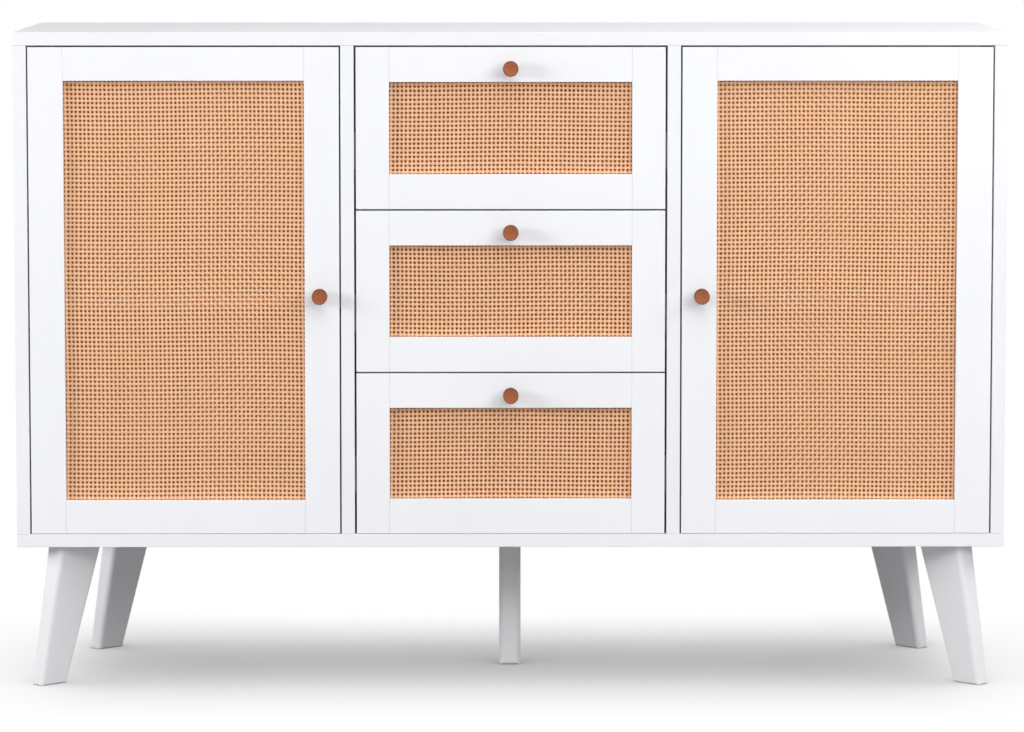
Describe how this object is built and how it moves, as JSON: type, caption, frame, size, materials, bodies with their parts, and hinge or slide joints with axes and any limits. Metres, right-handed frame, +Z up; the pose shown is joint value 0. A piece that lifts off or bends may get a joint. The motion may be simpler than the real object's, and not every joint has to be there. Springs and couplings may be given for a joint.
{
  "type": "sideboard",
  "caption": "White sideboard on splayed legs with framed woven-cane doors on concealed hinges, cane-fronted drawers on telescopic runners and an adjustable shelf behind each door.",
  "frame": {"origin": "on the floor under the middle of the bounding box, knobs included", "axes": "+X to the right of someone facing the doors, +Y from the doors to the back, +Z up"},
  "size_m": [1.2, 0.424, 0.8],
  "materials": {
    "white_board": "smooth white melamine on particle board",
    "white_front": "smooth white foil on fibreboard",
    "brown_fibreboard": "natural brown fibreboard, unpainted",
    "white_leg": "white lacquered solid wood",
    "woven_cane": "plain woven natural cane, matt",
    "copper_knob": "satin copper brown",
    "zinc_steel": "zinc plated sheet steel",
    "fitting_plastic": "pale grey moulded plastic"
  },
  "bodies": {
    "carcass": {"back_panel_centre": "brown_fibreboard", "back_panel_left": "brown_fibreboard", "back_panel_right": "brown_fibreboard", "bottom_panel": "white_board", "divider_left": "white_board", "divider_right": "white_board", "hinge_arms": "zinc_steel", "hinge_plates": "zinc_steel", "leg_centre": "white_leg", "leg_front_left": "white_leg", "leg_front_right": "white_leg", "leg_rear_left": "white_leg", "leg_rear_right": "white_leg", "outer_runners": "zinc_steel", "shelf_left": "white_board", "shelf_pins": "fitting_plastic", "shelf_right": "white_board", "side_panel_left": "white_board", "side_panel_right": "white_board", "top_panel": "white_board"},
    "door_left": {"door_left_cane": "woven_cane", "door_left_hinge_cups": "zinc_steel", "door_left_hinge_stile": "white_front", "door_left_knob": "copper_knob", "door_left_knob_stile": "white_front", "door_left_rails": "white_front"},
    "door_right": {"door_right_cane": "woven_cane", "door_right_hinge_cups": "zinc_steel", "door_right_hinge_stile": "white_front", "door_right_knob": "copper_knob", "door_right_knob_stile": "white_front", "door_right_rails": "white_front"},
    "drawer_bottom": {"drawer_bottom_back": "brown_fibreboard", "drawer_bottom_cane": "woven_cane", "drawer_bottom_floor": "brown_fibreboard", "drawer_bottom_front_rails": "white_front", "drawer_bottom_front_stiles": "white_front", "drawer_bottom_inner_runners": "zinc_steel", "drawer_bottom_knob": "copper_knob", "drawer_bottom_sides": "brown_fibreboard"},
    "runner_bottom": {"drawer_bottom_middle_runners": "zinc_steel"},
    "drawer_middle": {"drawer_middle_back": "brown_fibreboard", "drawer_middle_cane": "woven_cane", "drawer_middle_floor": "brown_fibreboard", "drawer_middle_front_rails": "white_front", "drawer_middle_front_stiles": "white_front", "drawer_middle_inner_runners": "zinc_steel", "drawer_middle_knob": "copper_knob", "drawer_middle_sides": "brown_fibreboard"},
    "runner_middle": {"drawer_middle_middle_runners": "zinc_steel"},
    "drawer_top": {"drawer_top_back": "brown_fibreboard", "drawer_top_cane": "woven_cane", "drawer_top_floor": "brown_fibreboard", "drawer_top_front_rails": "white_front", "drawer_top_front_stiles": "white_front", "drawer_top_inner_runners": "zinc_steel", "drawer_top_knob": "copper_knob", "drawer_top_sides": "brown_fibreboard"},
    "runner_top": {"drawer_top_middle_runners": "zinc_steel"}
  },
  "joints": [
    {"name": "door_left_hinge", "type": "hinge", "parent": "carcass", "child": "door_left", "pos_m": [-0.56, -0.1795, 0.4875], "axis": [0, 0, -1], "range_deg": [0, 95]},
    {"name": "door_right_hinge", "type": "hinge", "parent": "carcass", "child": "door_right", "pos_m": [0.56, -0.1795, 0.4875], "axis": [0, 0, 1], "range_deg": [0, 95]},
    {"name": "drawer_bottom_slide", "type": "slide", "parent": "carcass", "child": "drawer_bottom", "axis": [0, -1, 0], "range_m": [0, 0.32]},
    {"name": "runner_bottom_slide", "type": "slide", "parent": "carcass", "child": "runner_bottom", "axis": [0, -1, 0], "range_m": [0, 0.16]},
    {"name": "drawer_middle_slide", "type": "slide", "parent": "carcass", "child": "drawer_middle", "axis": [0, -1, 0], "range_m": [0, 0.32]},
    {"name": "runner_middle_slide", "type": "slide", "parent": "carcass", "child": "runner_middle", "axis": [0, -1, 0], "range_m": [0, 0.16]},
    {"name": "drawer_top_slide", "type": "slide", "parent": "carcass", "child": "drawer_top", "axis": [0, -1, 0], "range_m": [0, 0.32]},
    {"name": "runner_top_slide", "type": "slide", "parent": "carcass", "child": "runner_top", "axis": [0, -1, 0], "range_m": [0, 0.16]}
  ],
  "couplings": [
    {"joint": "runner_bottom_slide", "follows": "drawer_bottom_slide", "ratio": 0.5},
    {"joint": "runner_middle_slide", "follows": "drawer_middle_slide", "ratio": 0.5},
    {"joint": "runner_top_slide", "follows": "drawer_top_slide", "ratio": 0.5}
  ]
}
